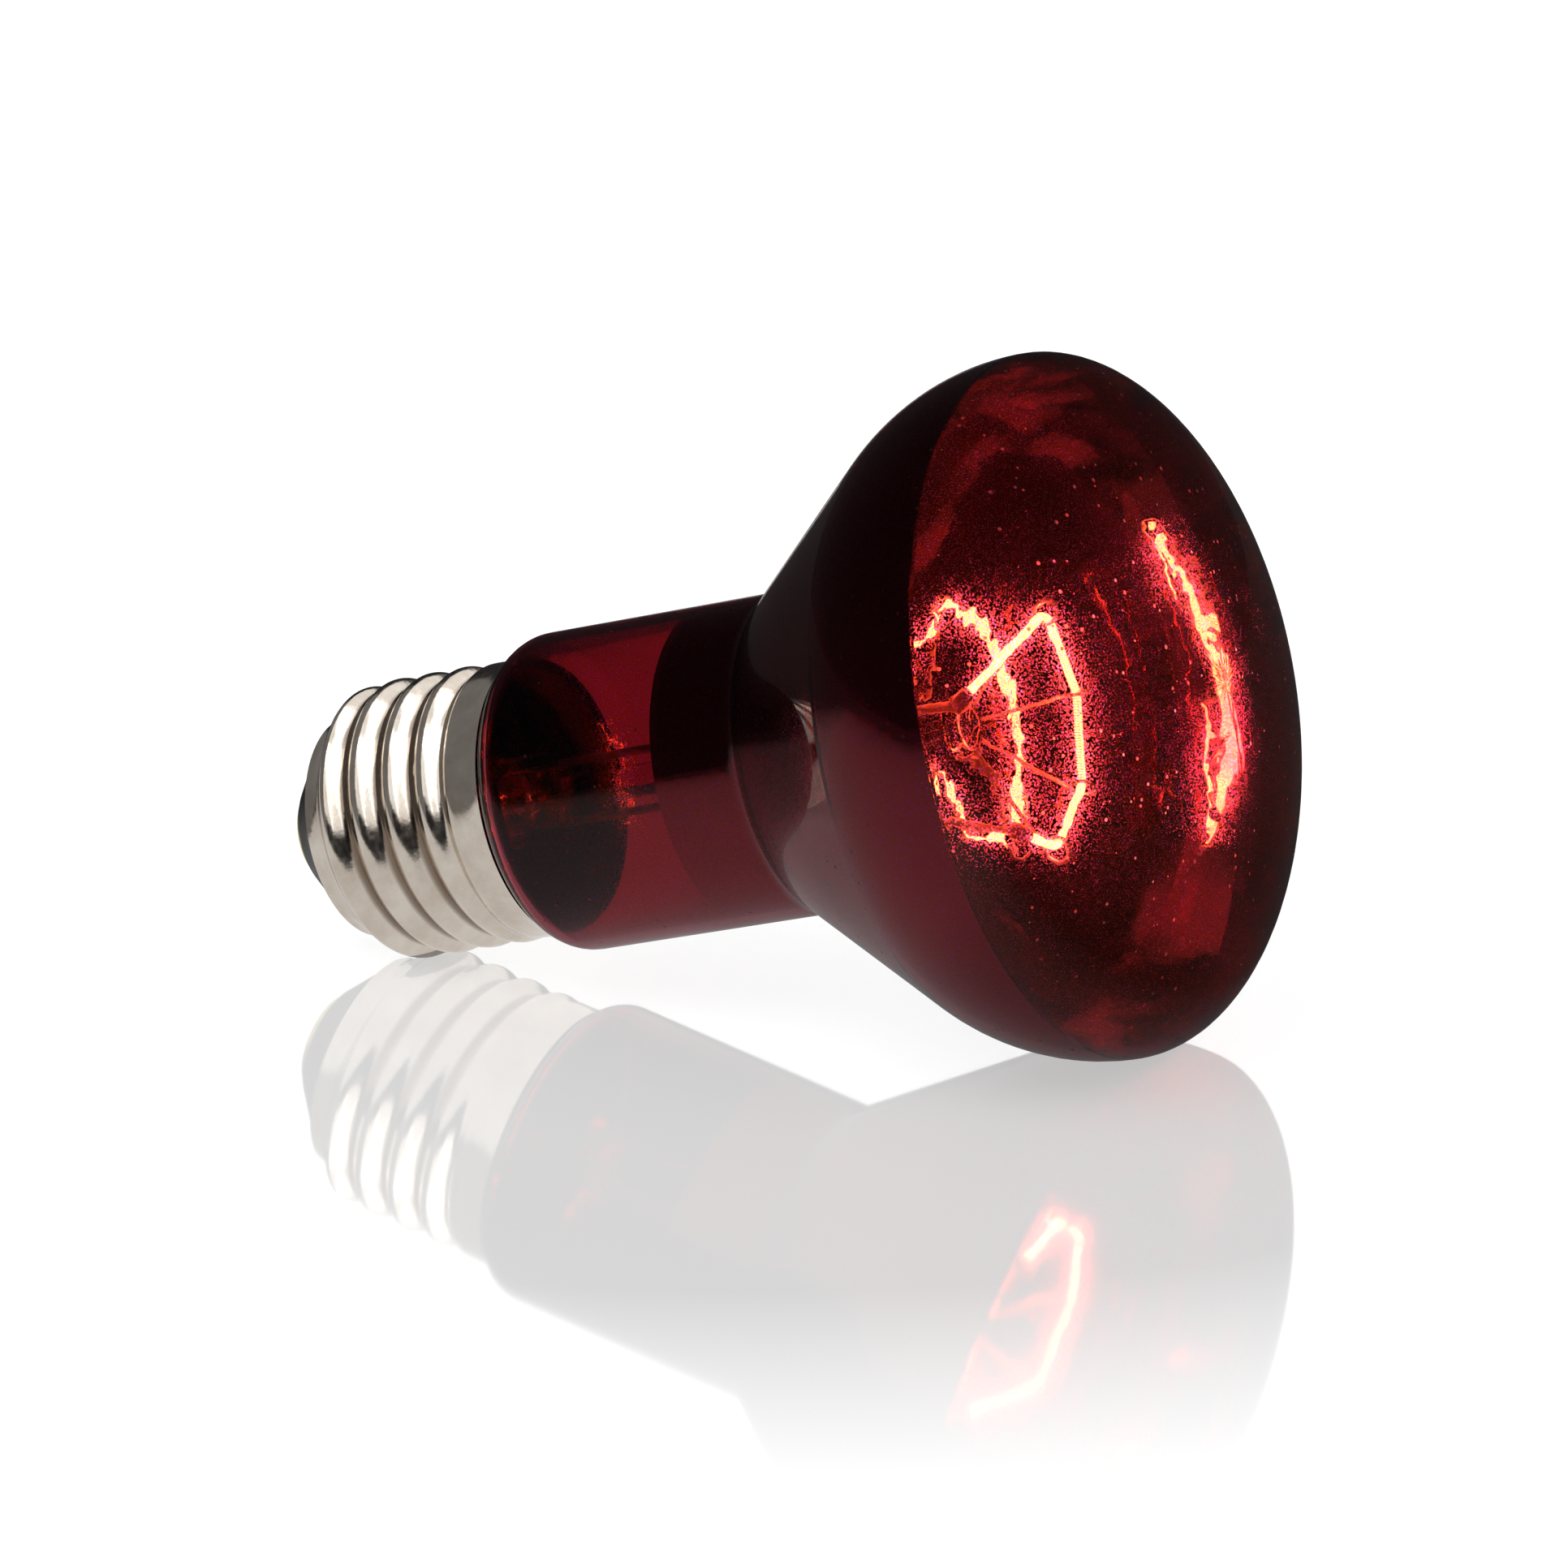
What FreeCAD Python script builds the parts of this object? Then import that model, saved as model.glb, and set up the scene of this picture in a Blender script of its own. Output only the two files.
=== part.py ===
import FreeCAD, Part
import math
import os

# Infrared reflector lamp: a ruby glass bulb with a mirrored bell and a screw cap,
# lying on its side as it comes to rest, on the rim of the bulb and one thread crest.
# All sizes are millimetres. Each piece is first made upright, with the lamp's axis on Z
# and the tip of its centre contact at zero, then one placement lays the lamp down.

# Screw cap
THREAD_PITCH = 25.4 / 7
THREAD_CREST_RADIUS = 13.05
THREAD_DEPTH = 1.05
THREAD_CREST_BROADENING = 0.1
THREAD_LENGTH = 11.8
THREAD_RUNOUT = 1.8
THREAD_LEAD_IN = 0.92
THREAD_ROW_COUNT = 9
SHELL_SECTOR_COUNT = 24
SHELL_WALL = 0.3
SHELL_LIP_STEP = 1.6
SHELL_LIP_HEIGHT = 0.4
SHELL_CURL_HEIGHT = 3.4
COLLAR_STEP = 0.15
COLLAR_FLARE = 0.3
COLLAR_LENGTH = 3.1
INSULATOR_CONE_HEIGHT = 4.0
INSULATOR_END_RADIUS = 5.6
INSULATOR_EDGE_ROUND = 0.7
INSULATOR_WALL = 2.0
INSULATOR_SEAT_HEIGHT = 1.5
CONTACT_RADIUS = 4.8
CONTACT_THICKNESS = 0.8
CONTACT_EDGE_ROUND = 0.4
EYELET_RADIUS = 1.7
EYELET_LENGTH = 2.4
EYELET_HOLE_RADIUS = 0.9
CONTACT_SOLDER_RADIUS = 2.4
CONTACT_SOLDER_RISE = 0.6
CONTACT_SOLDER_FLAT_RADIUS = 1.2
SIDE_SOLDER_RADIUS = 0.8
SIDE_SOLDER_HEIGHT = 0.6
CEMENT_HEIGHT = 2.4
CEMENT_SETBACK = 0.3

# Glass bulb
BULB_DIAMETER = 63.5
NECK_STEP = 1.9
NECK_LENGTH = 26.75
TAIL_LENGTH = 13.0
TAIL_ROUND = 1.5
TAPER_LENGTH = 2.0
SEAT_DEPTH = 0.25
SEAT_ROUND = 0.6
SHOULDER_LENGTH = 1.2
SHOULDER_ROUND = 3.2
JUNCTION_ROUND = 2.0
BELL_HALF_ANGLE = 38.7
BELL_ROUND = 20.3
DOME_HEIGHT = 14.2
GLASS_WALL = 0.9
COATING_THICKNESS = 0.15
COATING_NECK_LENGTH = 8.5
COATING_RIM_SETBACK = 0.4

# Mount inside the bulb
FLARE_SEAL_WIDTH = 1.3
FLARE_WALL = 0.9
STEM_RADIUS = 4.6
STEM_LENGTH = 4.0
PRESS_LENGTH = 6.0
PRESS_PINCH_LENGTH = 4.0
PRESS_THICKNESS = 4.2
EXHAUST_RADIUS = 1.8
EXHAUST_WALL = 0.6
EXHAUST_LENGTH = 11.0
ARBOR_RADIUS = 1.5
BUTTON_RADIUS = 2.8
BUTTON_HALF_HEIGHT = 2.0
BUTTON_TO_FILAMENT = 6.3
FILAMENT_TO_RIM = 6.8
FILAMENT_RADIUS = 0.5
FILAMENT_RING_RADIUS = 12.5
FILAMENT_END_RADIUS = 10.8
FILAMENT_BEND = 1.5
FILAMENT_END_ANGLES = (160.0, -117.0)
SUPPORT_COUNT = 4
SUPPORT_FIRST_ANGLE = 37.0
SUPPORT_STEP = 40.0
SUPPORT_RADIUS = 0.2
SUPPORT_LOOP_RADIUS = 1.15
SUPPORT_DEPTH = 1.2
LEAD_SPACING = 5.5
INNER_LEAD_RADIUS = 0.4
INNER_LEAD_RISE = 13.5
INNER_LEAD_BEND = 6.0
CLAMP_WALL = 0.3
CLAMP_LENGTH = 1.8
OUTER_LEAD_RADIUS = 0.25
OUTER_LEAD_BEND = 0.8
OUTER_LEAD_DROP = 2.0

# Room left between pieces that are bonded, soldered or fused to each other
BOND_GAP = 0.03
# Room on each side of the wire that runs up between the tail of the bulb and the shell
SIDE_LEAD_CLEARANCE = 0.2
# Room for cement between the bulb and the collar where the bulb seats in it
SEAT_CLEARANCE = 0.4

# Radii of the cap, and of the neck, tail and flare that go with it, from the thread's crest
THREAD_ROOT_RADIUS = THREAD_CREST_RADIUS - THREAD_DEPTH
THREAD_MEAN_RADIUS = THREAD_CREST_RADIUS - THREAD_DEPTH / 2
SHELL_LIP_RADIUS = THREAD_ROOT_RADIUS - SHELL_LIP_STEP
SHELL_BORE = THREAD_ROOT_RADIUS - SHELL_WALL
COLLAR_RADIUS = THREAD_CREST_RADIUS - COLLAR_STEP
COLLAR_BORE = COLLAR_RADIUS - SHELL_WALL
NECK_RADIUS = COLLAR_RADIUS + NECK_STEP
SEAT_RADIUS = COLLAR_BORE - SEAT_CLEARANCE
TAIL_RADIUS = SHELL_BORE - 2 * (OUTER_LEAD_RADIUS + SIDE_LEAD_CLEARANCE)
FLARE_ROUND = TAIL_RADIUS - FLARE_SEAL_WIDTH - STEM_RADIUS

# The outer and inner wires meet half way up the press
LEAD_SEAL_DEPTH = PRESS_LENGTH / 2

# Stations along the axis, counted from the tip of the centre contact
Z_CONTACT = CONTACT_SOLDER_RISE
Z_INSULATOR = Z_CONTACT + CONTACT_THICKNESS
Z_SHELL = Z_INSULATOR + INSULATOR_CONE_HEIGHT
Z_CURL = Z_SHELL + SHELL_LIP_HEIGHT
Z_THREAD = Z_CURL + SHELL_CURL_HEIGHT
Z_RUNOUT = Z_THREAD + THREAD_LENGTH
Z_COLLAR = Z_RUNOUT + THREAD_RUNOUT
Z_SHELL_RIM = Z_COLLAR + COLLAR_LENGTH
Z_SEAT = Z_SHELL_RIM - SEAT_DEPTH
Z_TAPER = Z_SEAT - TAPER_LENGTH
Z_TAIL = Z_SHELL_RIM - TAIL_LENGTH
Z_NECK = Z_SEAT + SHOULDER_LENGTH
Z_JUNCTION = Z_NECK + NECK_LENGTH
BULB_RADIUS = BULB_DIAMETER / 2
BELL_ANGLE = math.radians(BELL_HALF_ANGLE)
Z_BELL_CORNER = Z_JUNCTION + (BULB_RADIUS - NECK_RADIUS) / math.tan(BELL_ANGLE)
Z_RIM = Z_BELL_CORNER + BELL_ROUND * math.tan(BELL_ANGLE / 2)
Z_FACE = Z_RIM + DOME_HEIGHT
Z_PRESS = Z_TAIL + FLARE_ROUND + STEM_LENGTH
Z_PRESS_TOP = Z_PRESS + PRESS_LENGTH
Z_FILAMENT = Z_RIM - FILAMENT_TO_RIM
Z_BUTTON = Z_FILAMENT - BUTTON_TO_FILAMENT
Z_FIRST_CREST = Z_THREAD + THREAD_LEAD_IN

AXIS_BASE = FreeCAD.Vector(0, 0, 0)
AXIS = FreeCAD.Vector(0, 0, 1)
SEARCH_COUNT = 60


def half_plane(radius, z):
    """A point of a profile that is turned about the axis."""
    return FreeCAD.Vector(radius, 0, z)


def around(radius, degrees, z):
    """A point at an angle round the axis: 90 is the upper side, 180 the viewer's side."""
    turn = math.radians(degrees)
    return FreeCAD.Vector(-radius * math.sin(turn), radius * math.cos(turn), z)


def line(start, end):
    return Part.LineSegment(start, end).toShape()


def revolve(edges):
    face = Part.Face(Part.Wire(edges))
    return face.revolve(AXIS_BASE, AXIS, 360)


def revolve_outline(points):
    """Turns a closed outline of straight sides, given as radius and height pairs."""
    corners = [half_plane(radius, z) for radius, z in points]
    edges = [line(a, b) for a, b in zip(corners, corners[1:] + corners[:1])]
    return revolve(edges)


def rounded_route(points, radii):
    """Straight runs joined by tangent arcs, one radius for each inner point."""
    edges = []
    last = points[0]
    for before, corner, after, radius in zip(points, points[1:], points[2:], radii):
        back = (before - corner).normalize()
        ahead = (after - corner).normalize()
        half = back.getAngle(ahead) / 2
        reach = radius / math.tan(half)
        bisector = (back + ahead).normalize()
        middle = corner + bisector * (radius / math.sin(half) - radius)
        start = corner + back * reach
        end = corner + ahead * reach
        if (start - last).Length > 1e-6:
            edges.append(line(last, start))
        edges.append(Part.Arc(start, middle, end).toShape())
        last = end
    if (points[-1] - last).Length > 1e-6:
        edges.append(line(last, points[-1]))
    return edges


def rod_along(points, bend, radius):
    """A round wire along straight runs with the same bend at every corner."""
    path = Part.Wire(rounded_route(points, [bend] * (len(points) - 2)))
    section = Part.Circle(points[0], points[1] - points[0], radius).toShape()
    return path.makePipeShell([Part.Wire(section)], True, False)


# The bulb's outline has corners rounded about fixed centres, so that every surface
# inside it, of the wall or of the coating, is the same outline set inwards.
BULB_CORNERS = (
    (TAIL_RADIUS, Z_TAPER, TAIL_ROUND, 1),
    (SEAT_RADIUS, Z_SEAT, SEAT_ROUND, 1),
    (NECK_RADIUS, Z_NECK, SHOULDER_ROUND, -1),
    (NECK_RADIUS, Z_JUNCTION, JUNCTION_ROUND, 1),
    (BULB_RADIUS, Z_BELL_CORNER, BELL_ROUND, -1),
)


def set_in(before, corner, after, inset):
    """Moves one corner of the outline inwards, along with its two sides."""
    first = (corner - before).normalize()
    second = (after - corner).normalize()
    first_side = FreeCAD.Vector(-first.z, 0, first.x)
    second_side = FreeCAD.Vector(-second.z, 0, second.x)
    diagonal = first_side + second_side
    return corner + diagonal * (inset / (1 + first_side.dot(second_side)))


def bulb_outline(inset):
    """Edges from the open tail to the middle of the face, set in by a thickness."""
    corners = [half_plane(radius, z) for radius, z, _, _ in BULB_CORNERS]
    tail = half_plane(TAIL_RADIUS, Z_TAIL)
    rim = half_plane(BULB_RADIUS, Z_RIM)
    whole = [tail] + corners + [rim]
    moved = [set_in(a, b, c, inset) for a, b, c in zip(whole, whole[1:], whole[2:])]
    tail = half_plane(TAIL_RADIUS - inset, Z_TAIL)
    rim = half_plane(BULB_RADIUS - inset, Z_RIM)
    radii = [radius + side * inset for _, _, radius, side in BULB_CORNERS]
    edges = rounded_route([tail] + moved + [rim], radii)
    centre = half_plane(0, Z_RIM)
    pole = half_plane(0, Z_FACE - inset)
    dome = Part.Ellipse(rim, pole, centre)
    quarter = Part.Arc(dome, 0, math.pi / 2).toBSpline().toShape()
    return edges + [quarter], tail, pole


def between_outlines(outer, inner):
    """The turned skin between two insets of the bulb's outline."""
    outside, outer_tail, outer_pole = bulb_outline(outer)
    inside, inner_tail, inner_pole = bulb_outline(inner)
    closing = [line(outer_pole, inner_pole), line(inner_tail, outer_tail)]
    return revolve(Part.__sortEdges__(outside + inside + closing))


def bulb_room():
    """The whole space that the bulb fills, with the bond gap round it."""
    outside, tail, pole = bulb_outline(-BOND_GAP)
    foot = half_plane(0, Z_TAIL)
    return revolve(outside + [line(pole, foot), line(foot, tail)])


def glass_envelope():
    return between_outlines(0, GLASS_WALL)


def mirror_coating():
    """Metal film on the inside, from part way down the neck to just short of the rim."""
    outer = GLASS_WALL + BOND_GAP
    skin = between_outlines(outer, outer + COATING_THICKNESS)
    bottom = Z_JUNCTION - COATING_NECK_LENGTH
    height = Z_RIM - COATING_RIM_SETBACK - bottom
    zone = Part.makeCylinder(BULB_DIAMETER, height, FreeCAD.Vector(0, 0, bottom))
    return skin.common(zone)


def smooth_step(value, start, end):
    share = min(max((value - start) / (end - start), 0), 1)
    return share * share * (3 - 2 * share)


def shell_radius(z, turn, wave_gain=1):
    """Outer radius of the cap's shell: lip, rolled right-hand thread and flared collar."""
    rise = smooth_step(z, Z_CURL, Z_THREAD)
    fade = smooth_step(z, Z_RUNOUT, Z_COLLAR)
    body = SHELL_LIP_RADIUS + (THREAD_MEAN_RADIUS - SHELL_LIP_RADIUS) * rise
    body += (COLLAR_RADIUS - THREAD_MEAN_RADIUS) * fade
    flare = (z - Z_COLLAR) / COLLAR_LENGTH
    if flare > 0:
        body += COLLAR_FLARE * flare ** 4
    phase = 2 * math.pi * (z - Z_FIRST_CREST) / THREAD_PITCH - turn
    wave = math.cos(phase) - THREAD_CREST_BROADENING * (math.cos(2 * phase) - 1)
    return body + THREAD_DEPTH / 2 * wave_gain * wave * rise * (1 - fade)


def net_gain(step):
    """How much further out a cubic net lies than a wave that it follows, by angle per row."""
    return 3 / (2 + math.cos(step))


def shell_surface(inset):
    """The rolled shell as one smooth closed surface over a net of points, set in by its wall."""
    sectors = SHELL_SECTOR_COUNT
    height = Z_SHELL_RIM - Z_SHELL
    spans = math.ceil(height / THREAD_PITCH * THREAD_ROW_COUNT)
    knots = [Z_SHELL + height * span / spans for span in range(spans + 1)]
    padded = [Z_SHELL] * 3 + knots + [Z_SHELL_RIM] * 3
    rows = [sum(padded[row + 1:row + 4]) / 3 for row in range(spans + 3)]
    around_gain = net_gain(2 * math.pi / sectors)
    along_gain = net_gain(2 * math.pi * height / spans / THREAD_PITCH)
    net = []
    for sector in range(sectors):
        turn = 2 * math.pi * sector / sectors
        outward = FreeCAD.Vector(math.cos(turn), math.sin(turn), 0) * around_gain
        radii = [shell_radius(z, turn, along_gain) - inset for z in rows]
        net.append([outward * radius + AXIS * z for radius, z in zip(radii, rows)])
    surface = Part.BSplineSurface()
    surface.buildFromPolesMultsKnots(
        net, [1] * (sectors + 1), [4] + [1] * (spans - 1) + [4],
        list(range(sectors + 1)), knots, True, False, 3, 3)
    return surface


def closed_solid(faces):
    """Sews faces that meet at their edges into one solid."""
    skin = Part.Shell(faces)
    skin.sewShape()
    solid = Part.Solid(skin)
    if solid.Volume < 0:
        solid.reverse()
    return solid


def shell_rims(side):
    """The two round edges of the rolled surface, lip first."""
    rims = [edge for edge in side.Edges if edge.isClosed()]
    rims.sort(key=lambda edge: edge.CenterOfMass.z)
    return [Part.Wire(rim) for rim in rims]


def screw_shell():
    """The rolled shell between two insets of its surface."""
    outside = shell_surface(0).toShape()
    inside = shell_surface(SHELL_WALL).toShape()
    pairs = zip(shell_rims(outside), shell_rims(inside))
    ends = [Part.makeFace([outer, inner], "Part::FaceMakerBullseye") for outer, inner in pairs]
    return closed_solid([outside, inside] + ends)


def insulator():
    """Black glass cone that holds the contact, cast into the lip of the shell."""
    seat = SHELL_LIP_RADIUS - SHELL_WALL - BOND_GAP
    top = Z_SHELL + INSULATOR_SEAT_HEIGHT
    hole = EYELET_RADIUS + BOND_GAP
    body = revolve_outline((
        (hole, Z_INSULATOR),
        (INSULATOR_END_RADIUS, Z_INSULATOR),
        (seat, Z_SHELL),
        (seat, top),
        (seat - INSULATOR_WALL, top),
        (hole + INSULATOR_WALL / 2, Z_INSULATOR + INSULATOR_WALL),
        (hole, Z_INSULATOR + INSULATOR_WALL),
    ))
    rim = [e for e in body.Edges if e.isClosed()
           and abs(e.BoundBox.XMax - INSULATOR_END_RADIUS) < 0.05 and e.BoundBox.ZMax < Z_SHELL]
    return body.makeFillet(INSULATOR_EDGE_ROUND, rim)


def centre_contact():
    """Brass eyelet: a flange under the insulator and a tube up through it."""
    top = Z_INSULATOR + EYELET_LENGTH
    body = revolve_outline((
        (EYELET_HOLE_RADIUS, Z_CONTACT),
        (CONTACT_RADIUS, Z_CONTACT),
        (CONTACT_RADIUS, Z_INSULATOR),
        (EYELET_RADIUS, Z_INSULATOR),
        (EYELET_RADIUS, top),
        (EYELET_HOLE_RADIUS, top),
    ))
    rim = [e for e in body.Edges if e.isClosed() and e.BoundBox.ZMax < Z_CONTACT + 0.1
           and e.BoundBox.XMax > CONTACT_RADIUS - 0.1]
    return body.makeFillet(CONTACT_EDGE_ROUND, rim)


def contact_solder():
    """Tin dome on the contact, pressed flat at its tip, with the plug that fills the eyelet."""
    spread = CONTACT_SOLDER_RADIUS ** 2 - CONTACT_SOLDER_FLAT_RADIUS ** 2
    centre = (spread / CONTACT_SOLDER_RISE + CONTACT_SOLDER_RISE) / 2
    sphere = math.hypot(CONTACT_SOLDER_FLAT_RADIUS, centre)
    lowest = math.asin(CONTACT_SOLDER_FLAT_RADIUS / sphere)
    highest = math.asin(CONTACT_SOLDER_RADIUS / sphere)
    half = (lowest + highest) / 2
    middle = half_plane(sphere * math.sin(half), centre - sphere * math.cos(half))
    tip = half_plane(0, 0)
    flat = half_plane(CONTACT_SOLDER_FLAT_RADIUS, 0)
    edge = half_plane(CONTACT_SOLDER_RADIUS, Z_CONTACT)
    plug = EYELET_HOLE_RADIUS - BOND_GAP
    top = Z_INSULATOR
    return revolve([
        line(tip, flat),
        Part.Arc(flat, middle, edge).toShape(),
        line(edge, half_plane(plug, Z_CONTACT)),
        line(half_plane(plug, Z_CONTACT), half_plane(plug, top)),
        line(half_plane(plug, top), half_plane(0, top)),
        line(half_plane(0, top), tip),
    ])


LEAD_OFFSET = LEAD_SPACING / 2
SIDE_LEAD_RADIUS = (TAIL_RADIUS + SHELL_BORE) / 2
SIDE_SOLDER_CENTRE = (SIDE_LEAD_RADIUS + COLLAR_BORE) / 2
Z_SIDE_SOLDER = Z_COLLAR + SIDE_SOLDER_HEIGHT
Z_CEMENT = Z_SHELL_RIM - CEMENT_SETBACK - CEMENT_HEIGHT


def outer_lead_centre(thickening=0):
    """Wire from the press down to the solder in the eyelet."""
    z_turn = Z_PRESS - EXHAUST_LENGTH - OUTER_LEAD_DROP
    end = Z_INSULATOR + BOND_GAP
    points = [
        FreeCAD.Vector(-LEAD_OFFSET, 0, Z_PRESS + LEAD_SEAL_DEPTH),
        FreeCAD.Vector(-LEAD_OFFSET, 0, z_turn),
        FreeCAD.Vector(0, 0, z_turn - LEAD_OFFSET),
        FreeCAD.Vector(0, 0, end),
    ]
    return rod_along(points, OUTER_LEAD_BEND, OUTER_LEAD_RADIUS + thickening)


def outer_lead_side(thickening=0):
    """Wire from the press down, out under the tail, and up beside it to the collar."""
    z_turn = Z_TAIL - OUTER_LEAD_DROP
    points = [
        FreeCAD.Vector(LEAD_OFFSET, 0, Z_PRESS + LEAD_SEAL_DEPTH),
        FreeCAD.Vector(LEAD_OFFSET, 0, z_turn),
        FreeCAD.Vector(0, SIDE_LEAD_RADIUS, z_turn),
        FreeCAD.Vector(0, SIDE_LEAD_RADIUS, Z_SIDE_SOLDER),
    ]
    return rod_along(points, OUTER_LEAD_BEND / 2, OUTER_LEAD_RADIUS + thickening)


def solder_ball(thickening=0):
    centre = FreeCAD.Vector(0, SIDE_SOLDER_CENTRE, Z_SIDE_SOLDER)
    return Part.makeSphere(SIDE_SOLDER_RADIUS + thickening, centre)


def side_solder():
    """Tin bead that joins the end of the side wire to the inside of the collar."""
    bore = Part.makeCylinder(COLLAR_BORE - BOND_GAP, Z_SHELL_RIM)
    return solder_ball().common(bore).cut([bulb_room(), outer_lead_side(BOND_GAP)])


def basing_cement():
    """Ring of cement between the tail of the bulb and the collar of the shell."""
    disc = Part.makeCylinder(COLLAR_BORE - BOND_GAP, CEMENT_HEIGHT, FreeCAD.Vector(0, 0, Z_CEMENT))
    return disc.cut([bulb_room(), outer_lead_side(BOND_GAP), solder_ball(BOND_GAP)])


def stem():
    """Clear glass flare sealed to the tail, its tube, and the flat press that holds the wires."""
    bore = STEM_RADIUS - FLARE_WALL
    bend = half_plane(STEM_RADIUS + FLARE_ROUND, Z_TAIL + FLARE_ROUND)
    slant = math.sqrt(0.5)
    inner_round = FLARE_ROUND + FLARE_WALL
    upper = Part.Arc(
        half_plane(bend.x, Z_TAIL),
        half_plane(bend.x - FLARE_ROUND * slant, bend.z - FLARE_ROUND * slant),
        half_plane(STEM_RADIUS, bend.z),
    ).toShape()
    lower = Part.Arc(
        half_plane(bore, bend.z),
        half_plane(bend.x - inner_round * slant, bend.z - inner_round * slant),
        half_plane(bend.x, Z_TAIL - FLARE_WALL),
    ).toShape()
    flare = revolve([
        line(half_plane(TAIL_RADIUS, Z_TAIL), half_plane(bend.x, Z_TAIL)),
        upper,
        line(half_plane(STEM_RADIUS, bend.z), half_plane(STEM_RADIUS, Z_PRESS)),
        line(half_plane(STEM_RADIUS, Z_PRESS), half_plane(bore, Z_PRESS)),
        line(half_plane(bore, Z_PRESS), half_plane(bore, bend.z)),
        lower,
        line(half_plane(bend.x, Z_TAIL - FLARE_WALL), half_plane(TAIL_RADIUS, Z_TAIL - FLARE_WALL)),
        line(half_plane(TAIL_RADIUS, Z_TAIL - FLARE_WALL), half_plane(TAIL_RADIUS, Z_TAIL)),
    ])
    side = PRESS_THICKNESS / 2
    pinch = Z_PRESS + PRESS_PINCH_LENGTH
    half_section = [
        (-STEM_RADIUS, Z_PRESS), (STEM_RADIUS, Z_PRESS), (side, pinch),
        (side, Z_PRESS_TOP), (-side, Z_PRESS_TOP), (-side, pinch),
    ]
    corners = [FreeCAD.Vector(-STEM_RADIUS, y, z) for y, z in half_section]
    wedge = Part.Face(Part.makePolygon(corners + corners[:1]))
    wedge = wedge.extrude(FreeCAD.Vector(2 * STEM_RADIUS, 0, 0))
    press = Part.makeCylinder(STEM_RADIUS, PRESS_LENGTH, FreeCAD.Vector(0, 0, Z_PRESS)).common(wedge)
    glass = flare.fuse(press).removeSplitter()
    hole = EXHAUST_RADIUS - EXHAUST_WALL
    vent = Part.makeCylinder(hole, PRESS_PINCH_LENGTH / 2, FreeCAD.Vector(0, 0, Z_PRESS))
    mouth = FreeCAD.Vector(0, 0, Z_PRESS + PRESS_PINCH_LENGTH / 2)
    vent = vent.fuse(Part.makeCylinder(hole, 2 * STEM_RADIUS, mouth, FreeCAD.Vector(0, 1, 0)))
    glass = glass.cut(vent)
    for lead in (outer_lead_centre(BOND_GAP), outer_lead_side(BOND_GAP)):
        glass = glass.cut(lead)
    for side in (-1, 1):
        seat = FreeCAD.Vector(side * LEAD_OFFSET, 0, Z_PRESS_TOP - LEAD_SEAL_DEPTH - BOND_GAP)
        depth = LEAD_SEAL_DEPTH + BOND_GAP
        glass = glass.cut(Part.makeCylinder(INNER_LEAD_RADIUS + BOND_GAP, depth, seat))
    return glass


def exhaust_tube():
    """Glass tube below the press, drawn off and sealed to a round tip inside the cap."""
    bore = EXHAUST_RADIUS - EXHAUST_WALL
    tip = Z_PRESS - EXHAUST_LENGTH
    bottom = FreeCAD.Vector(0, 0, tip + EXHAUST_RADIUS)
    length = EXHAUST_LENGTH - EXHAUST_RADIUS
    outside = Part.makeCylinder(EXHAUST_RADIUS, length, bottom)
    outside = outside.fuse(Part.makeSphere(EXHAUST_RADIUS, bottom)).removeSplitter()
    inside = Part.makeCylinder(bore, length, bottom).fuse(Part.makeSphere(bore, bottom))
    return outside.cut(inside)


SUPPORT_ANGLES = [SUPPORT_FIRST_ANGLE - SUPPORT_STEP * place for place in range(SUPPORT_COUNT)]


def filament_points():
    """Corners of the open ring: one end, the supports in turn, the other end."""
    ends = [around(FILAMENT_END_RADIUS, angle, Z_FILAMENT) for angle in FILAMENT_END_ANGLES]
    corners = [around(FILAMENT_RING_RADIUS, angle, Z_FILAMENT) for angle in SUPPORT_ANGLES]
    return [ends[0]] + corners + [ends[1]]


def filament():
    """Outer form of the tungsten coil, which runs straight from support to support."""
    return rod_along(filament_points(), FILAMENT_BEND, FILAMENT_RADIUS)


def support_frame(place):
    """Foot and tip of one spoke, the middle of its loop, and the coil's direction there."""
    before, corner, after = filament_points()[place:place + 3]
    back = (before - corner).normalize()
    ahead = (after - corner).normalize()
    inward = (back + ahead).normalize()
    half = back.getAngle(ahead) / 2
    bend = corner + inward * (FILAMENT_BEND / math.sin(half) - FILAMENT_BEND)
    slack = SUPPORT_LOOP_RADIUS - SUPPORT_RADIUS - FILAMENT_RADIUS - BOND_GAP
    loop = bend - inward * slack
    tip = loop - AXIS * SUPPORT_LOOP_RADIUS
    hub = FreeCAD.Vector(0, 0, Z_BUTTON)
    foot = hub + (tip - hub).normalize() * (BUTTON_RADIUS - SUPPORT_DEPTH)
    return foot, tip, loop, ahead - back


def support_wire(place):
    """Spoke out of the button, with the loop that carries one corner of the filament."""
    foot, tip, loop, coil = support_frame(place)
    spoke = Part.makeCylinder(SUPPORT_RADIUS, (tip - foot).Length, foot, tip - foot)
    ring = Part.makeTorus(SUPPORT_LOOP_RADIUS, SUPPORT_RADIUS, loop, coil)
    return spoke.fuse(ring)


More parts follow.
